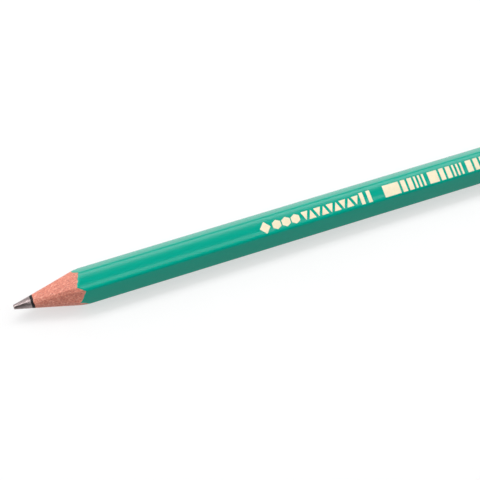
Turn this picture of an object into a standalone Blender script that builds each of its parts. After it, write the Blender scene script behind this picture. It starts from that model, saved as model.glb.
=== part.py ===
"""A hexagonal graphite pencil, sharpened once, lying on one of its six flats.

Metres, +Z up. +X runs along the pencil from the point to the plain rear end. The origin is on the
resting flat, midway along, so the pencil's axis is ACROSS_FLATS / 2 above it.

The pencil is one co-extruded rod: a lead core, a thin black bonding sleeve around it, a barrel of
foamed resin, and a thin coloured outer skin. A sharpener has cut all four to one cone. Cream foil
marks are stamped into the top flat. Each foil mark is a film of its own, in a shallow impression.
"""

import math

import bmesh
import bpy
from mathutils import Vector

MM = 0.001

# The rod
LENGTH = 175.0 * MM
ACROSS_FLATS = 7.0 * MM
RIDGE_RADIUS = 1.1 * MM  # rounding of the six long ridges
SKIN_THICKNESS = 0.08 * MM
BOND_THICKNESS = 0.11 * MM
LEAD_DIAMETER = 2.54 * MM
LAYER_GAP = 0.02 * MM  # keeps neighbouring layers' meshes apart

# The sharpened end
CONE_HALF_ANGLE = math.radians(13.15)
TIP_DIAMETER = 0.9 * MM  # of the blunt tip, before its edge was worn round
TIP_WEAR_RADIUS = 0.2 * MM

# The foil print: distances run along the pencil from its tip
FOIL_THICKNESS = 0.02 * MM
FOIL_SINK = 0.01 * MM  # from the flat down to the film's face
IMPRESSION_DEPTH = 0.04 * MM
IMPRESSION_MARGIN = 0.03 * MM  # between a film and the wall of its impression
PRINT_Y = -0.35 * MM  # the print sits a little off the flat's centre line
PRINT_HEIGHT = 2.6 * MM
LOZENGE_AT = 52.4 * MM
LOZENGE_WIDTH = 2.3 * MM
HEXAGONS_START = 54.0 * MM
HEXAGON_COUNT = 3
HEXAGON_WIDTH = 1.8 * MM
HEXAGON_PITCH = 2.05 * MM
TRIANGLES_START = 60.4 * MM
TRIANGLE_COUNT = 9
TRIANGLE_BASE = 1.5 * MM
TRIANGLE_HEIGHT = 1.9 * MM
TRIANGLE_PITCH = 1.4 * MM
BARS_START = 73.4 * MM
BAR_COUNT = 2
BAR_WIDTH = 0.8 * MM
BAR_PITCH = 1.6 * MM
STRIPES_START = 78.7 * MM
STRIPE_RUNS = 3  # each run is one block, two bars and three lines
BLOCK_WIDTH = 3.6 * MM
BLOCK_SHRINK = 0.6  # each run's block against the block before it
STRIPE_WIDTHS = (1.0 * MM, 1.0 * MM, 0.42 * MM, 0.42 * MM, 0.42 * MM)
STRIPE_GAP = 0.5 * MM
RUN_GAP = 0.9 * MM

# Mesh fineness
RIDGE_STEPS = 8
FLAT_STEPS = 10
WEAR_STEPS = 5
SHARP_ANGLE = math.radians(30)

# Derived
APOTHEM = ACROSS_FLATS / 2
AXIS_HEIGHT = APOTHEM
TIP_X = -LENGTH / 2
REAR_X = LENGTH / 2
CONE_SLOPE = math.tan(CONE_HALF_ANGLE)
APEX_X = TIP_X - TIP_DIAMETER / 2 / CONE_SLOPE
LEAD_RADIUS = LEAD_DIAMETER / 2
BOND_INNER = LEAD_RADIUS + LAYER_GAP
BOND_OUTER = BOND_INNER + BOND_THICKNESS
BORE_RADIUS = BOND_OUTER + LAYER_GAP
BARREL_INSET = SKIN_THICKNESS + LAYER_GAP

# name: colour, roughness, metallic
FINISHES = {
    "graphite": ((0.16, 0.14, 0.15), 0.38, 0.25),
    "black_bond": ((0.015, 0.015, 0.018), 0.55, 0.0),
    "foamed_resin": ((0.72, 0.36, 0.26), 0.75, 0.0),
    "green_skin": ((0.0, 0.42, 0.28), 0.28, 0.0),
    "cream_foil": ((0.98, 0.87, 0.62), 0.45, 0.0),
}


def clear_scene():
    for obj in list(bpy.data.objects):
        bpy.data.objects.remove(obj)


def make_material(name):
    colour, roughness, metallic = FINISHES[name]
    material = bpy.data.materials.new(name)
    material.use_nodes = True
    shader = material.node_tree.nodes["Principled BSDF"]
    shader.inputs["Base Color"].default_value = (*colour, 1.0)
    shader.inputs["Roughness"].default_value = roughness
    shader.inputs["Metallic"].default_value = metallic
    return material


def hexagon_outline(inset):
    """(y, z) points about the axis, anticlockwise from a ridge at +Y, inside the outline by inset."""
    radius = RIDGE_RADIUS - inset
    centre_distance = (APOTHEM - RIDGE_RADIUS) / math.cos(math.radians(30))
    arcs = []
    for ridge in range(6):
        towards = math.radians(60 * ridge)
        centre = Vector((math.cos(towards), math.sin(towards))) * centre_distance
        arc = []
        for step in range(RIDGE_STEPS + 1):
            normal = towards + math.radians(60) * (step / RIDGE_STEPS - 0.5)
            arc.append(centre + radius * Vector((math.cos(normal), math.sin(normal))))
        arcs.append(arc)
    points = []
    for ridge, arc in enumerate(arcs):
        points.extend(arc)
        start, end = arc[-1], arcs[(ridge + 1) % 6][0]
        points.extend(start.lerp(end, step / FLAT_STEPS) for step in range(1, FLAT_STEPS))
    return points


def circle_outline(radius):
    """A circle with its points on the same rays from the axis as the barrel's outline."""
    return [radius * point.normalized() for point in hexagon_outline(BARREL_INSET)]


def ring_at(x, outline):
    return [Vector((x, y, AXIS_HEIGHT + z)) for y, z in outline]


def ring_on_cone(outline):
    """The outline where it meets the sharpened cone, which gives a hexagon its scallops."""
    return [
        Vector((APEX_X + point.length / CONE_SLOPE, point.x, AXIS_HEIGHT + point.y))
        for point in outline
    ]


def finish_object(name, mesh_tools, material):
    bmesh.ops.recalc_face_normals(mesh_tools, faces=mesh_tools.faces)
    mesh = bpy.data.meshes.new(name)
    mesh_tools.to_mesh(mesh)
    mesh_tools.free()
    mesh.shade_smooth()
    mesh.set_sharp_from_angle(angle=SHARP_ANGLE)
    obj = bpy.data.objects.new(name, mesh)
    bpy.context.scene.collection.objects.link(obj)
    if material:
        mesh.materials.append(material)
    return obj


def loft(name, rings, material=None, hollow=False):
    """Bridges rings of equal length in order. A hollow loft's last ring joins its first."""
    tools = bmesh.new()
    rows = [[tools.verts.new(point) for point in ring] for ring in rings]
    pairs = list(zip(rows, rows[1:]))
    if hollow:
        pairs.append((rows[-1], rows[0]))
    for near, far in pairs:
        for index in range(len(near)):
            after = (index + 1) % len(near)
            tools.faces.new((near[index], near[after], far[after], far[index]))
    if not hollow:
        tools.faces.new(rows[0])
        tools.faces.new(rows[-1])
    return finish_object(name, tools, material)


def make_lead(material):
    """The core, with a blunt tip whose edge has worn round."""
    turn = math.pi / 2 - CONE_HALF_ANGLE
    flat_radius = TIP_DIAMETER / 2 - TIP_WEAR_RADIUS * math.tan(turn / 2)
    rings = []
    for step in range(WEAR_STEPS + 1):
        angle = turn * step / WEAR_STEPS
        x = TIP_X + TIP_WEAR_RADIUS * (1 - math.cos(angle))
        radius = flat_radius + TIP_WEAR_RADIUS * math.sin(angle)
        rings.append(ring_at(x, circle_outline(radius)))
    body = circle_outline(LEAD_RADIUS)
    rings.append(ring_on_cone(body))
    rings.append(ring_at(REAR_X, body))
    return loft("lead", rings, material)


def make_layer(name, inner, outer, material):
    """One tubular layer of the rod, cut to the cone at the front and square at the rear."""
    rings = [ring_on_cone(inner), ring_on_cone(outer), ring_at(REAR_X, outer), ring_at(REAR_X, inner)]
    return loft(name, rings, material, hollow=True)


def make_film(name, inner_inset, outer_inset):
    """A tube that follows the pencil's outline between two depths, as a cutter for the print."""
    rings = [
        ring_at(x, hexagon_outline(inset))
        for x, inset in (
            (TIP_X, inner_inset),
            (TIP_X, outer_inset),
            (REAR_X, outer_inset),
            (REAR_X, inner_inset),
        )
    ]
    return as_cutter(loft(name, rings, hollow=True))


def as_cutter(obj):
    obj.hide_render = True
    obj.display_type = "WIRE"
    return obj


def add_boolean(obj, operation, cutter):
    modifier = obj.modifiers.new(operation.lower(), "BOOLEAN")
    modifier.operation = operation
    modifier.object = cutter


def rectangle(start, width):
    """A foil stripe across the print, from start along the pencil."""
    left, right = TIP_X + start, TIP_X + start + width
    low, high = PRINT_Y - PRINT_HEIGHT / 2, PRINT_Y + PRINT_HEIGHT / 2
    return [Vector(corner) for corner in ((left, low), (right, low), (right, high), (left, high))]


def polygon(middle, width, height, sides, first_angle):
    """A regular polygon, stretched to a width and a height, centred on the print's centre line."""
    corners = []
    for side in range(sides):
        angle = first_angle + 2 * math.pi * side / sides
        corners.append(Vector((math.cos(angle), math.sin(angle))))
    low = Vector(min(corner[i] for corner in corners) for i in range(2))
    high = Vector(max(corner[i] for corner in corners) for i in range(2))
    size = Vector((width, height))
    return [
        Vector(
            (corner[i] - (low[i] + high[i]) / 2) / (high[i] - low[i]) * size[i]
            + (TIP_X + middle, PRINT_Y)[i]
            for i in range(2)
        )
        for corner in corners
    ]


def stripe_outlines():
    """Runs of one block, two bars and three lines. Each run's block is narrower than the last."""
    outlines = []
    start = STRIPES_START
    for run in range(STRIPE_RUNS):
        for width in (BLOCK_WIDTH * BLOCK_SHRINK**run, *STRIPE_WIDTHS):
            outlines.append(rectangle(start, width))
            start += width + STRIPE_GAP
        start += RUN_GAP - STRIPE_GAP
    return outlines


def print_outlines():
    """Node name to outline, anticlockwise from above, in the order of the print along the pencil."""
    outlines = {"foil_lozenge": polygon(LOZENGE_AT, LOZENGE_WIDTH, PRINT_HEIGHT, 4, 0.0)}
    for i in range(HEXAGON_COUNT):
        middle = HEXAGONS_START + HEXAGON_WIDTH / 2 + i * HEXAGON_PITCH
        height = HEXAGON_WIDTH / math.cos(math.radians(30))
        outlines[f"foil_hexagon_{i + 1}"] = polygon(middle, HEXAGON_WIDTH, height, 6, math.radians(30))
    for i in range(TRIANGLE_COUNT):
        middle = TRIANGLES_START + TRIANGLE_BASE / 2 + i * TRIANGLE_PITCH
        points_up = math.radians(90 if i % 2 else -90)
        outlines[f"foil_triangle_{i + 1}"] = polygon(middle, TRIANGLE_BASE, TRIANGLE_HEIGHT, 3, points_up)
    for i in range(BAR_COUNT):
        outlines[f"foil_bar_{i + 1}"] = rectangle(BARS_START + i * BAR_PITCH, BAR_WIDTH)
    for i, outline in enumerate(stripe_outlines()):
        outlines[f"foil_stripe_{i + 1:02d}"] = outline
    return outlines


def grown(outline, margin):
    """A convex anticlockwise outline with each side moved outwards by margin."""
    corners = []
    for index, corner in enumerate(outline):
        before = (corner - outline[index - 1]).normalized()
        after = (outline[(index + 1) % len(outline)] - corner).normalized()
        outwards = Vector((before.y + after.y, -before.x - after.x))
        corners.append(corner + outwards * margin / (1 + before.dot(after)))
    return corners


def make_prisms(name, outlines, material=None):
    """Upright prisms on the outlines, through the whole upper half of the pencil."""
    tools = bmesh.new()
    for outline in outlines:
        floor = [tools.verts.new((x, y, AXIS_HEIGHT)) for x, y in outline]
        face = tools.faces.new(floor)
        raised = bmesh.ops.extrude_face_region(tools, geom=[face])["geom"]
        top = [part for part in raised if isinstance(part, bmesh.types.BMVert)]
        bmesh.ops.translate(tools, verts=top, vec=(0.0, 0.0, ACROSS_FLATS))
    return finish_object(name, tools, material)


def make_print(skin, material):
    """The foil marks, each cut from one film under the surface, and their impressions in the skin."""
    outlines = print_outlines()
    film = make_film("film_cutter", FOIL_SINK + FOIL_THICKNESS, FOIL_SINK)
    for name, outline in outlines.items():
        add_boolean(make_prisms(name, [outline], material), "INTERSECT", film)
    pressed = [grown(outline, IMPRESSION_MARGIN) for outline in outlines.values()]
    impressions = as_cutter(make_prisms("impression_cutter", pressed))
    add_boolean(impressions, "INTERSECT", make_film("depth_cutter", IMPRESSION_DEPTH, -IMPRESSION_DEPTH))
    add_boolean(skin, "DIFFERENCE", impressions)


def main():
    clear_scene()
    materials = {name: make_material(name) for name in FINISHES}
    make_lead(materials["graphite"])
    make_layer(
        "bonding_sleeve", circle_outline(BOND_INNER), circle_outline(BOND_OUTER), materials["black_bond"]
    )
    make_layer(
        "barrel", circle_outline(BORE_RADIUS), hexagon_outline(BARREL_INSET), materials["foamed_resin"]
    )
    skin = make_layer(
        "outer_skin", hexagon_outline(SKIN_THICKNESS), hexagon_outline(0.0), materials["green_skin"]
    )
    make_print(skin, materials["cream_foil"])


main()
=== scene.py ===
"""The looks of a sharpened hexagonal graphite pencil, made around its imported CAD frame.

Metres, +Z up: the pencil lies along X on one of its flats, with its point towards -X. Each CAD
node is replaced by a finer piece of the same size and place. The lead, the bonding sleeve, the
barrel and the skin share one rounded hexagon and one sharpened cone, so that they meet exactly.
"""

import math

import bpy
import numpy as np
from mathutils import Matrix, Vector, noise


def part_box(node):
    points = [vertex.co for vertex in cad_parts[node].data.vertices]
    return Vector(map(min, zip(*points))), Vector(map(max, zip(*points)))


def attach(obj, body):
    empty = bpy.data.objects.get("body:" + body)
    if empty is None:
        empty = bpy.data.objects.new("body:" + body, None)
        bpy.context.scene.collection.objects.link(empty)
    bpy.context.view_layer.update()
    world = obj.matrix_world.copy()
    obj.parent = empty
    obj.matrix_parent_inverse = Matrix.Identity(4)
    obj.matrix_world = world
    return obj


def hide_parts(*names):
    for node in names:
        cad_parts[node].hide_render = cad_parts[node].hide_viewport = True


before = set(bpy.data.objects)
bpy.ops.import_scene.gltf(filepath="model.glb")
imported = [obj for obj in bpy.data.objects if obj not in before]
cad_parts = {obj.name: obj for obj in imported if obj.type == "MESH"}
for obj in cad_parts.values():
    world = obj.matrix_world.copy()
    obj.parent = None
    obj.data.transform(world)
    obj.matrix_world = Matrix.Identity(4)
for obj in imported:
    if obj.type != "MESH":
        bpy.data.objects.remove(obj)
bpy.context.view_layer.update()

MM = 0.001

# The sharpened end, as in the CAD model
CONE_SLOPE = math.tan(math.radians(13.15))
TIP_DIAMETER = 0.9 * MM

# Fine shape that the CAD model leaves out
FACE_CROWN = math.radians(4.0)  # how far the normal turns from a flat's middle to its edge
RIDGE_RADIUS = 0.7 * MM
SURFACE_ROOM = 0.012 * MM  # keeps the crowned skin and its foil inside the CAD box
SKIN_THICKNESS = 0.08 * MM
FOIL_PROUD = 0.006 * MM
TIP_WEAR_RADIUS = 0.22 * MM
TIP_INSET = 0.01 * MM  # how far the blunt face lies behind the CAD model's
LEAD_ROUGHNESS = 0.02 * MM
RESIN_ROUGHNESS = 0.022 * MM
LEAD_REAR_INSET = 0.01 * MM
BOND_REAR_INSET = 0.015 * MM
BARREL_REAR_INSET = 0.02 * MM
SAW_DEPTH = 0.03 * MM  # of the marks that the saw left in the barrel's rear end
SKIN_LIP = 0.03 * MM  # from the cut's edge to where the skin's plain length starts
# The skin's softened rear edge: how far each ring is from the rear end, and how deep in the outline
SKIN_REAR_EDGE = ((0.08 * MM, 0.0), (0.025 * MM, 0.018 * MM), (0.0, 0.055 * MM))
FOIL_STEP = 0.07 * MM  # between the points of a foil mark's edge, and how soft its corners are
FOIL_UNEVEN = 0.02 * MM
FOIL_WAVES = 4  # of that unevenness, a millimetre
FOIL_SUNK = 0.012 * MM  # how deep the film's underside lies in the skin

# The sharpener's cut is a little flattened into facets: each one's start and end round the axis, in
# degrees from +Y towards +Z, and how flat it is, from 0 for round to 1 for a flat
EDGE_FACETS = (
    (12, 62, 0.55),
    (62, 104, 0.8),
    (104, 118, 0.7),
    (118, 163, 0.75),
    (163, 200, 0.55),
    (200, 250, 0.5),
    (250, 310, 0.5),
    (310, 372, 0.4),
)
# More of the same, deepest two thirds of the way from the lead's edge to the skin's
MIDDLE_FACETS = ((30, 104, 0.2), (104, 180, 0.42))
# On the lead's own cone
LEAD_FACETS = ((56, 97, 0.8), (97, 168, 0.65))
CORE_STRAY = 0.12  # how much of the skin edge's facets reaches the lead's edge

# The studio
SWEEP_RISE = 2.46  # the white sweep behind the pencil climbs until Z is this many times Y
SWEEP_FADE = (0.12, 0.22)  # how far above that it starts to fade, and where it has gone
SWEEP_WHITE, ROOM_GREY = 0.85, 0.03
LIT_FROM_TIP = 50 * MM  # where along the pencil the softboxes point
TABLE_SIDE = 12.0
CAMERA_YAW, CAMERA_PITCH, CAMERA_ROLL = math.radians(-36.2), math.radians(72.02), math.radians(17.9)
CAMERA_PLACE = Vector((-78.8, -53.1, 205.0)) * MM
CAMERA_LENS, SENSOR_WIDTH = 77.4, 36.0  # in millimetres, as Blender takes them

# Measures read from the frame
lead_low, lead_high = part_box("lead")
sleeve_low, sleeve_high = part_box("bonding_sleeve")
skin_low, skin_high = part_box("outer_skin")
TIP_X, REAR_X = lead_low.x, lead_high.x
LEAD_RADIUS = (lead_high.y - lead_low.y) / 2
BORE_RADIUS = (sleeve_high.y - sleeve_low.y) / 2
AXIS_HEIGHT = (skin_low.z + skin_high.z) / 2
APOTHEM = (skin_high.z - skin_low.z) / 2 - SURFACE_ROOM
APEX_X = TIP_X - TIP_DIAMETER / 2 / CONE_SLOPE

# Mesh fineness
FACE_POINTS = 26
RIDGE_POINTS = 16

# Reading the CAD marks
SAME_DIGITS = 7  # decimals that tell two corners of a mark apart
STRAIGHT = 1e-12  # three corners in line: twice the area between them, in square metres
TOP_START = 0.2  # the outline's upper side starts this far from +Y, in radians


# ---------------------------------------------------------------- outlines


def crowned_hexagon():
    """(y, z) points about the axis and their normals: six slightly crowned flats, six round ridges."""
    turn = math.cos(FACE_CROWN) - math.sqrt(3) * math.sin(FACE_CROWN)
    face_radius = (APOTHEM - turn * RIDGE_RADIUS) / (1 - turn)
    ridge_distance = 2 * (face_radius - RIDGE_RADIUS) * math.sin(FACE_CROWN)
    points, normals = [], []
    for side in range(6):
        ridge = math.radians(60 * side)
        face = ridge + math.radians(30)
        half = math.radians(30) - FACE_CROWN
        for angle in np.linspace(ridge - half, ridge + half, RIDGE_POINTS, endpoint=False):
            normal = np.array([math.cos(angle), math.sin(angle)])
            centre = ridge_distance * np.array([math.cos(ridge), math.sin(ridge)])
            points.append(centre + RIDGE_RADIUS * normal)
            normals.append(normal)
        for angle in np.linspace(face - FACE_CROWN, face + FACE_CROWN, FACE_POINTS, endpoint=False):
            normal = np.array([math.cos(angle), math.sin(angle)])
            centre = (APOTHEM - face_radius) * np.array([math.cos(face), math.sin(face)])
            points.append(centre + face_radius * normal)
            normals.append(normal)
    return np.array(points), np.array(normals)


OUTLINE, OUTLINE_NORMALS = crowned_hexagon()
POINT_COUNT = len(OUTLINE)
ANGLES = np.arctan2(OUTLINE[:, 1], OUTLINE[:, 0])
RAYS = np.stack([np.cos(ANGLES), np.sin(ANGLES)], axis=1)


def inset_outline(depth):
    return OUTLINE - depth * OUTLINE_NORMALS


def ripple(seed, cycles, size=1.0):
    """A smooth closed wave round the axis, one value a ray, about -size to size."""
    values = []
    for ray in RAYS:
        spot = Vector((ray[0], ray[1], 0.0)) * cycles / (2 * math.pi)
        values.append(noise.noise(spot + Vector((0.0, 0.0, seed))))
    return 2 * size * np.array(values)


def facet_stray(facets):
    """How far flat facets lie inside a round cut, one value a ray, as a share of the radius."""
    turned = np.degrees(ANGLES) % 360
    turned = np.where(turned < facets[0][0], turned + 360, turned)
    stray = np.zeros(POINT_COUNT)
    for start, end, flatness in facets:
        half = math.radians(end - start) / 2
        away = np.radians(turned - start) - half
        inside = np.abs(away) < half
        depth = flatness * (1 - math.cos(half) / np.cos(np.where(inside, away, 0.0)))
        stray += np.where(inside, depth, 0.0)
    return stray


def edge_stray():
    """How far the cut strays from a true cone at the skin's edge: oval, faceted and a little uneven."""
    oval = 0.025 + 0.014 * np.cos(2 * (ANGLES - math.radians(30)))
    return oval - facet_stray(EDGE_FACETS) + ripple(7.7, 40, size=0.005) + ripple(1.3, 110, size=0.003)


EDGE_STRAY = edge_stray()
MIDDLE_STRAY = facet_stray(MIDDLE_FACETS)


def cut_x(radii):
    """Where the sharpener's cut reaches each ray's radius."""
    true_x = APEX_X + radii / CONE_SLOPE
    share = np.clip((radii - LEAD_RADIUS) / (APOTHEM - LEAD_RADIUS), 0.0, None)
    middle = 27 / 4 * share**2 * np.clip(1 - share, 0.0, None)
    stray = EDGE_STRAY * (CORE_STRAY + (1 - CORE_STRAY) * share) - MIDDLE_STRAY * middle
    return APEX_X + (true_x - APEX_X) / (1 + stray)


# ---------------------------------------------------------------- meshes


def ring(x, section):
    """One ring of points: x is a number or one value a ray, and section is (y, z) about the axis."""
    points = np.empty((POINT_COUNT, 3))
    points[:, 0] = x
    points[:, 1] = section[:, 0]
    points[:, 2] = section[:, 1] + AXIS_HEIGHT
    return points


def round_ring(x, radius):
    return ring(x, RAYS * np.reshape(radius, (-1, 1)))


def cone_ring(section):
    return ring(cut_x(np.linalg.norm(section, axis=1)), section)


def between(near, far, shares):
    return [near + (far - near) * share for share in shares]


def roughened(points, seed, scale, size):
    """The rings with every point moved along its ray by smooth noise: scale is cycles a millimetre."""
    moved = points.copy()
    for index, point in enumerate(points):
        spot = Vector(point) / MM * scale + Vector((seed, 0.0, 0.0))
        moved[index, 1:] += RAYS[index] * size * noise.noise(spot)
    return moved


def add_piece(name, vertices, faces, material, nodes):
    """A piece that replaces the CAD nodes and rides with the pencil."""
    mesh = bpy.data.meshes.new(name)
    mesh.from_pydata([tuple(v) for v in vertices], [], faces)
    mesh.validate()
    mesh.shade_smooth()
    mesh.set_sharp_from_angle(angle=math.radians(35))
    mesh.materials.append(material)
    obj = bpy.data.objects.new(name, mesh)
    bpy.context.scene.collection.objects.link(obj)
    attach(obj, "root")
    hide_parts(*nodes)
    return obj


def loft(name, rings, material, nodes, hollow=False):
    """Joins rings in order. A hollow loft closes on itself; a solid one ends in two capped rings."""
    count = len(rings)
    vertices = np.concatenate(rings)
    faces = []
    for row in range(count if hollow else count - 1):
        near, far = row * POINT_COUNT, (row + 1) % count * POINT_COUNT
        for i in range(POINT_COUNT):
            after = (i + 1) % POINT_COUNT
            faces.append((near + i, far + i, far + after, near + after))
    if not hollow:
        faces.append(tuple(range(POINT_COUNT)))
        faces.append(tuple((count - 1) * POINT_COUNT + i for i in reversed(range(POINT_COUNT))))
    return add_piece(name, vertices, faces, material, nodes)


# ---------------------------------------------------------------- the rod


def lead_tip_rings():
    """The blunt tip's face and its worn edge."""
    face_x = TIP_X + TIP_INSET
    turn = math.pi / 2 - math.atan(CONE_SLOPE)
    flat_radius = TIP_DIAMETER / 2 - TIP_WEAR_RADIUS * math.tan(turn / 2)
    rings = [round_ring(face_x, flat_radius * share) for share in (0.02, 0.25, 0.5, 0.75)]
    for angle in np.linspace(0.0, turn, 9):
        x = face_x + TIP_WEAR_RADIUS * (1 - math.cos(angle))
        rings.append(round_ring(x, flat_radius + TIP_WEAR_RADIUS * math.sin(angle)))
    return rings


def lead_cut_rings(start, edge):
    """The lead's own cone from its worn tip to its edge: its facets fade out towards both."""
    facets = np.reshape(facet_stray(LEAD_FACETS), (-1, 1))
    axis = np.array([0.0, AXIS_HEIGHT])
    shares = np.linspace(0.02, 0.98, 60)
    rings = between(start, edge, shares)
    for share, points in zip(shares, rings):
        fade = min(1.0, share * 8, (1 - share) * 2.5)
        points[:, 1:] -= (points[:, 1:] - axis) * facets * fade
    return rings


def make_lead(material):
    """The graphite core: a blunt worn tip, a slightly rough and faceted cone, and the rear end."""
    edge = round_ring(cut_x(np.full(POINT_COUNT, LEAD_RADIUS)), LEAD_RADIUS)
    rings = lead_tip_rings()
    rings += lead_cut_rings(rings[-1], edge)
    rings = [roughened(points, seed=5.0, scale=2.2, size=LEAD_ROUGHNESS) for points in rings]
    rear, chamfer = REAR_X - LEAD_REAR_INSET, 0.02 * MM
    rings += [edge, round_ring(rear - chamfer, LEAD_RADIUS), round_ring(rear, LEAD_RADIUS - chamfer)]
    rings += [round_ring(rear, LEAD_RADIUS * share) for share in (0.8, 0.5, 0.2, 0.02)]
    return loft("graphite_lead", rings, material, ["lead"])


def bore_edge():
    """The bore's radius at the cut, one value a ray: it wanders a little."""
    return BORE_RADIUS + ripple(seed=4.0, cycles=10, size=0.012 * MM)


def make_sleeve(material):
    """The black bond between core and barrel, whose edges wander a little."""
    inner = LEAD_RADIUS + ripple(seed=2.0, cycles=14, size=0.006 * MM)
    outer = bore_edge()
    front_inner, front_outer = round_ring(cut_x(inner), inner), round_ring(cut_x(outer), outer)
    rings = [front_inner, *between(front_inner, front_outer, (0.33, 0.66)), front_outer]
    rear = REAR_X - BOND_REAR_INSET
    rings += [round_ring(rear, BORE_RADIUS), round_ring(rear, LEAD_RADIUS)]
    return loft("black_bond_ring", rings, material, ["bonding_sleeve"], hollow=True)


def make_barrel(material):
    """The foamed resin barrel: its cut cone is slightly uneven, and its rear end is sawn."""
    bore = bore_edge()
    near = round_ring(cut_x(bore), bore)
    section = inset_outline(SKIN_THICKNESS)
    radii = np.linalg.norm(section, axis=1)
    rings = [near]
    for share in np.linspace(0.0, 1.0, 150)[1:]:
        radius = bore + (radii - bore) * share
        points = round_ring(cut_x(radius), radius)
        fade = min(1.0, share * 12, (1 - share) * 12)
        rings.append(roughened(points, seed=2.0, scale=3.0, size=RESIN_ROUGHNESS * fade))
    rear = REAR_X - BARREL_REAR_INSET
    rings.append(ring(rear, section))
    rear_rings = between(ring(rear, section), round_ring(rear, BORE_RADIUS), np.linspace(0.04, 1, 24))
    for points in rear_rings:
        for index, point in enumerate(points):
            points[index, 0] -= SAW_DEPTH * abs(noise.noise(Vector(point) / MM * 3))
    rings += rear_rings
    return loft("resin_barrel", rings, material, ["barrel"], hollow=True)


def make_skin(material):
    """The green skin: a scalloped front edge pared to the cone, crowned faces, a softened rear edge."""
    inner, outer = inset_outline(SKIN_THICKNESS), OUTLINE
    front_inner, front_outer = cone_ring(inner), cone_ring(outer)
    rings = between(front_inner, front_outer, (0.0, 0.35, 0.7, 0.93))
    lip = ring(front_outer[:, 0] + SKIN_LIP, outer)
    rear_edge = [ring(REAR_X - back, inset_outline(depth)) for back, depth in SKIN_REAR_EDGE]
    rings += between(lip, rear_edge[0], np.linspace(0.0, 1.0, 90) ** 1.6)
    rings += rear_edge[1:]
    rings.append(ring(REAR_X - 0.005 * MM, inner))
    return loft("green_skin", rings, material, ["outer_skin"], hollow=True)


# ---------------------------------------------------------------- the foil print


def surface_height(y):
    """The crowned top flat's height at y, from the outline."""
    top = (ANGLES > TOP_START) & (ANGLES < math.pi - TOP_START)
    order = np.argsort(OUTLINE[top, 0])
    heights = OUTLINE[top, 1][order] + AXIS_HEIGHT
    return np.interp(y, OUTLINE[top, 0][order], heights)


def hull_of(points):
    """The convex outline of 2-D points, anticlockwise."""
    points = sorted({(round(x, SAME_DIGITS), round(y, SAME_DIGITS)) for x, y in points})

    def half(chain):
        kept = []
        for point in chain:
            while len(kept) > 1:
                (ax, ay), (bx, by) = kept[-2], kept[-1]
                if (bx - ax) * (point[1] - ay) - (by - ay) * (point[0] - ax) > STRAIGHT:
                    break
                kept.pop()
            kept.append(point)
        return kept[:-1]

    return half(points) + half(points[::-1])


def foil_edge(corners, seed):
    """The mark's outline with softened corners, a point every FOIL_STEP and a slightly uneven edge."""
    corners = [Vector(corner) for corner in corners]
    path = []
    for index, corner in enumerate(corners):
        before = (corners[index - 1] - corner).normalized() * FOIL_STEP
        after = (corners[(index + 1) % len(corners)] - corner).normalized() * FOIL_STEP
        for share in (0.0, 0.5, 1.0):
            path.append(corner + before * (1 - share) ** 2 + after * share**2)
    edge = []
    for index, start in enumerate(path):
        end = path[(index + 1) % len(path)]
        steps = max(1, round((end - start).length / FOIL_STEP))
        edge.extend(start.lerp(end, step / steps) for step in range(steps))
    middle = sum(corners, Vector((0.0, 0.0))) / len(corners)
    uneven = []
    for point in edge:
        shake = noise.noise(Vector((point.x, point.y, 0.0)) / MM * FOIL_WAVES + Vector((0, 0, seed)))
        uneven.append(point + (point - middle).normalized() * FOIL_UNEVEN * shake)
    return np.array(uneven), np.array(middle)


def make_foil(node, material, seed):
    """One foil mark: a thin film laid on the crowned flat, following it over the ridge's start."""
    corners = [(v.co.x, v.co.y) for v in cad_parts[node].data.vertices]
    edge, middle = foil_edge(hull_of(corners), seed)
    layers = [(1.0, -FOIL_SUNK), (1.0, FOIL_PROUD * 0.4)]
    layers += [(share, FOIL_PROUD) for share in (0.985, 0.95, 0.9, 0.8, 0.65, 0.5, 0.3, 0.1)]
    vertices = []
    for share, height in layers:
        flat = middle + (edge - middle) * share
        lift = surface_height(flat[:, 1]) + height
        vertices.append(np.column_stack([flat, lift]))
    count = len(edge)
    faces = []
    for row in range(len(layers) - 1):
        for i in range(count):
            after = (i + 1) % count
            near, far = row * count, (row + 1) * count
            faces.append((near + i, near + after, far + after, far + i))
    faces.append(tuple((len(layers) - 1) * count + i for i in range(count)))
    faces.append(tuple(reversed(range(count))))
    return add_piece("print_" + node, np.concatenate(vertices), faces, material, [node])


# ---------------------------------------------------------------- materials


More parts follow.
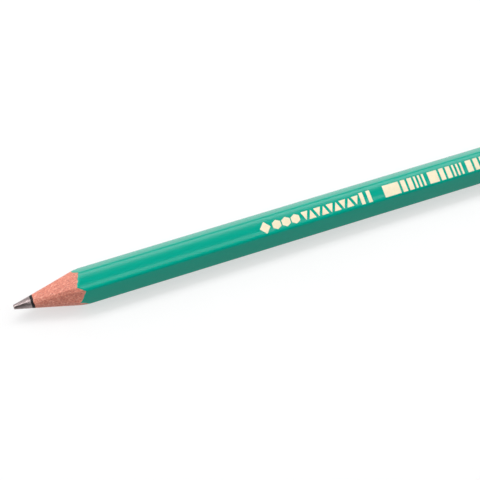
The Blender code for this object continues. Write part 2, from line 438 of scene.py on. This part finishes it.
class Recipe:
    """A node material with a Principled shader and short ways to add what feeds it."""

    def __init__(self, name, colour, roughness, **sockets):
        self.material = bpy.data.materials.new(name)
        self.material.use_nodes = True
        self.nodes = self.material.node_tree.nodes
        self.links = self.material.node_tree.links
        self.shader = self.nodes["Principled BSDF"]
        self.shader.inputs["Base Color"].default_value = (*colour, 1.0)
        self.shader.inputs["Roughness"].default_value = roughness
        for socket, value in sockets.items():
            self.shader.inputs[socket.replace("_", " ")].default_value = value
        self.place = self.add("ShaderNodeTexCoord").outputs["Object"]

    def add(self, kind, **inputs):
        node = self.nodes.new(kind)
        for name, value in inputs.items():
            self.put(node.inputs[name.replace("_", " ")], value)
        return node

    def put(self, socket, value):
        if isinstance(value, bpy.types.NodeSocket):
            self.links.new(value, socket)
        else:
            socket.default_value = value

    def noise(self, stretch, scale, detail=3.0, rough=0.55):
        """Noise in cycles a millimetre. stretch is its length along X, Y and Z against one cycle."""
        mapping = self.add("ShaderNodeMapping", Vector=self.place)
        mapping.inputs["Scale"].default_value = [1 / MM / share for share in stretch]
        texture = self.add("ShaderNodeTexNoise", Vector=mapping.outputs[0], Scale=scale, Detail=detail)
        texture.inputs["Roughness"].default_value = rough
        return texture.outputs["Fac"]

    def ramp(self, factor, stops):
        """A colour ramp: stops are (position, colour or grey)."""
        node = self.add("ShaderNodeValToRGB", Fac=factor)
        elements = node.color_ramp.elements
        while len(elements) < len(stops):
            elements.new(0.5)
        for element, (position, value) in zip(elements, stops):
            element.position = position
            colour = (value, value, value) if isinstance(value, float) else value
            element.color = (*colour, 1.0)
        return node.outputs["Color"]

    def mix(self, factor, first, second, blend="MIX"):
        node = self.nodes.new("ShaderNodeMix")
        node.data_type = "RGBA"
        node.blend_type = blend
        self.put(node.inputs["Factor"], factor)
        for socket, value in ((node.inputs[6], first), (node.inputs[7], second)):
            self.put(socket, (*value, 1.0) if isinstance(value, tuple) else value)
        return node.outputs[2]

    def colour(self, value):
        self.put(self.shader.inputs["Base Color"], value)

    def roughness(self, value):
        self.put(self.shader.inputs["Roughness"], value)

    def bump(self, height, distance, strength=1.0, under=None):
        node = self.add("ShaderNodeBump", Height=height, Distance=distance, Strength=strength)
        if under is not None:
            self.put(node.inputs["Normal"], under)
        self.put(self.shader.inputs["Normal"], node.outputs[0])
        return node.outputs[0]


def graphite_material():
    recipe = Recipe("graphite", (0.28, 0.228, 0.23), 0.34, Metallic=0.85)
    grain = recipe.noise((1, 1, 1), scale=9.0, detail=5.0)
    scores = recipe.noise((0.12, 1, 1), scale=2.2, detail=4.0)
    recipe.colour(recipe.ramp(grain, [(0.3, (0.21, 0.168, 0.171)), (0.7, (0.38, 0.312, 0.305))]))
    recipe.roughness(recipe.ramp(scores, [(0.3, 0.28), (0.7, 0.38)]))
    fine = recipe.bump(grain, distance=0.01 * MM, strength=0.4)
    recipe.bump(scores, distance=0.02 * MM, strength=0.5, under=fine)
    return recipe.material


def bond_material():
    recipe = Recipe("black_bond", (0.01, 0.01, 0.012), 0.5, Specular_IOR_Level=0.2)
    grain = recipe.noise((1, 1, 1), scale=8.0)
    recipe.colour(recipe.ramp(grain, [(0.35, (0.005, 0.005, 0.006)), (0.7, (0.02, 0.019, 0.02))]))
    recipe.roughness(recipe.ramp(grain, [(0.3, 0.42), (0.7, 0.62)]))
    recipe.bump(grain, distance=0.015 * MM, strength=0.5)
    return recipe.material


def resin_material():
    recipe = Recipe("foamed_resin", (0.55, 0.174, 0.117), 0.5, Specular_IOR_Level=0.5)
    cloud = recipe.noise((1, 1, 1), scale=1.1, detail=3.0)
    fleck = recipe.noise((1.6, 1, 1), scale=3.2, detail=4.0, rough=0.7)
    pore = recipe.noise((1.6, 1, 1), scale=4.5, detail=2.0, rough=0.5)
    base = recipe.ramp(cloud, [(0.3, (0.525, 0.158, 0.105)), (0.7, (0.585, 0.19, 0.128))])
    flecked = recipe.mix(recipe.ramp(fleck, [(0.5, 0.0), (0.64, 0.8)]), base, (0.75, 0.38, 0.29))
    pored = recipe.mix(recipe.ramp(pore, [(0.32, 0.8), (0.47, 0.0)]), flecked, (0.32, 0.08, 0.055))
    recipe.colour(pored)
    recipe.roughness(recipe.ramp(fleck, [(0.3, 0.52), (0.7, 0.7)]))
    coarse = recipe.bump(fleck, distance=0.03 * MM, strength=0.6)
    recipe.bump(pore, distance=0.02 * MM, strength=0.5, under=coarse)
    return recipe.material


def skin_material():
    recipe = Recipe("green_skin", (0.0, 0.292, 0.207), 0.11, Specular_IOR_Level=0.2)
    drawn = recipe.noise((60, 1, 1), scale=3.0, detail=4.0)
    cloud = recipe.noise((8, 1, 1), scale=0.5, detail=2.0)
    base = recipe.ramp(cloud, [(0.3, (0.0, 0.287, 0.203)), (0.7, (0.0, 0.297, 0.211))])
    recipe.colour(recipe.mix(recipe.ramp(drawn, [(0.3, 0.06), (0.6, 0.0)]), base, (0.0, 0.19, 0.13)))
    recipe.roughness(recipe.ramp(drawn, [(0.3, 0.1), (0.7, 0.13)]))
    recipe.bump(drawn, distance=0.002 * MM, strength=0.3)
    return recipe.material


def foil_material():
    recipe = Recipe("cream_foil", (0.68, 0.6, 0.42), 0.42)
    cloud = recipe.noise((1, 1, 1), scale=1.5, detail=2.0)
    pinhole = recipe.noise((1, 1, 1), scale=7.0, detail=2.0, rough=0.5)
    base = recipe.ramp(cloud, [(0.3, (0.66, 0.585, 0.405)), (0.7, (0.7, 0.615, 0.435))])
    recipe.colour(recipe.mix(recipe.ramp(pinhole, [(0.27, 0.5), (0.33, 0.0)]), base, (0.25, 0.36, 0.26)))
    recipe.roughness(recipe.ramp(cloud, [(0.3, 0.36), (0.7, 0.48)]))
    recipe.bump(pinhole, distance=0.005 * MM, strength=0.5)
    return recipe.material


def floor_material():
    recipe = Recipe("lit_table", (0.34, 0.34, 0.34), 0.8, Specular_IOR_Level=0.0)
    paper = recipe.noise((1, 1, 1), scale=0.05, detail=2.0)
    recipe.colour(recipe.ramp(paper, [(0.3, 0.335), (0.7, 0.345)]))
    recipe.shader.inputs["Emission Color"].default_value = (1.0, 1.0, 1.0, 1.0)
    recipe.shader.inputs["Emission Strength"].default_value = 0.56
    return recipe.material


# ---------------------------------------------------------------- studio


def make_floor():
    side = TABLE_SIDE / 2
    mesh = bpy.data.meshes.new("table")
    corners = [(-side, -side, 0.0), (side, -side, 0.0), (side, side, 0.0), (-side, side, 0.0)]
    mesh.from_pydata(corners, [], [(0, 1, 2, 3)])
    mesh.materials.append(floor_material())
    floor = bpy.data.objects.new("table", mesh)
    bpy.context.scene.collection.objects.link(floor)


def make_world():
    """A white sweep that rises behind the pencil and lies along the horizon; the rest is dim."""
    world = bpy.data.worlds.new("studio")
    bpy.context.scene.world = world
    world.use_nodes = True
    nodes, links = world.node_tree.nodes, world.node_tree.links
    split = nodes.new("ShaderNodeSeparateXYZ")
    links.new(nodes.new("ShaderNodeTexCoord").outputs["Generated"], split.inputs[0])
    behind = nodes.new("ShaderNodeMath")
    behind.operation = "MAXIMUM"
    links.new(split.outputs["Y"], behind.inputs[0])
    behind.inputs[1].default_value = 0.0
    climb = nodes.new("ShaderNodeMath")
    climb.operation = "MULTIPLY_ADD"
    links.new(behind.outputs[0], climb.inputs[0])
    climb.inputs[1].default_value = -SWEEP_RISE
    links.new(split.outputs["Z"], climb.inputs[2])
    ramp = nodes.new("ShaderNodeValToRGB")
    links.new(climb.outputs[0], ramp.inputs["Fac"])
    low, high = ramp.color_ramp.elements
    low.position, high.position = SWEEP_FADE
    low.color = (SWEEP_WHITE, SWEEP_WHITE, SWEEP_WHITE, 1.0)
    high.color = (ROOM_GREY, ROOM_GREY, ROOM_GREY, 1.0)
    links.new(ramp.outputs["Color"], nodes["Background"].inputs["Color"])
    nodes["Background"].inputs["Strength"].default_value = 1.0


def add_softbox(name, towards, width, height, power):
    """A rectangular light a metre from the pencil's front half, in the direction towards, facing it."""
    light = bpy.data.lights.new(name, "AREA")
    light.shape = "RECTANGLE"
    light.size, light.size_y = width, height
    light.energy = power
    lamp = bpy.data.objects.new(name, light)
    bpy.context.scene.collection.objects.link(lamp)
    towards = Vector(towards).normalized()
    turn = towards.to_track_quat("Z", "Y").to_matrix()
    lit = Vector((TIP_X + LIT_FROM_TIP, 0.0, AXIS_HEIGHT))
    lamp.matrix_world = Matrix.Translation(lit + towards) @ turn.to_4x4()


def make_camera():
    """Close above the point, looking down, and rolled so that the pencil climbs to the right."""
    data = bpy.data.cameras.new("camera")
    data.lens, data.sensor_width = CAMERA_LENS, SENSOR_WIDTH
    data.clip_start, data.clip_end = 0.01, 20.0
    camera = bpy.data.objects.new("camera", data)
    bpy.context.scene.collection.objects.link(camera)
    right = Vector((math.cos(CAMERA_YAW), math.sin(CAMERA_YAW), 0.0))
    forward = Vector((-right.y, right.x, 0.0))
    back = Vector((0.0, 0.0, math.sin(CAMERA_PITCH))) - forward * math.cos(CAMERA_PITCH)
    turn = Matrix((right, back.cross(right), back)).transposed() @ Matrix.Rotation(CAMERA_ROLL, 3, "Z")
    camera.matrix_world = Matrix.Translation(CAMERA_PLACE) @ turn.to_4x4()
    bpy.context.scene.camera = camera


def make_studio():
    make_floor()
    make_world()
    add_softbox("key_softbox", towards=(0.0, 0.48, 0.877), width=1.2, height=0.27, power=6.8)
    add_softbox("overhead_strip", towards=(0.0, 0.163, 1.0), width=1.3, height=0.045, power=0.95)
    for side in (-1.0, 1.0):
        add_softbox("side_softbox", towards=(side, 0.0, 0.7), width=0.9, height=0.7, power=5.0)
    settings = bpy.context.scene.view_settings
    settings.view_transform = "Standard"
    settings.look = "None"
    settings.exposure, settings.gamma = 0.0, 1.0


def main():
    make_camera()
    make_studio()
    make_lead(graphite_material())
    make_sleeve(bond_material())
    make_barrel(resin_material())
    make_skin(skin_material())
    foil = foil_material()
    for index, node in enumerate(sorted(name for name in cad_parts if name.startswith("foil_"))):
        make_foil(node, foil, index * 1.7)


main()
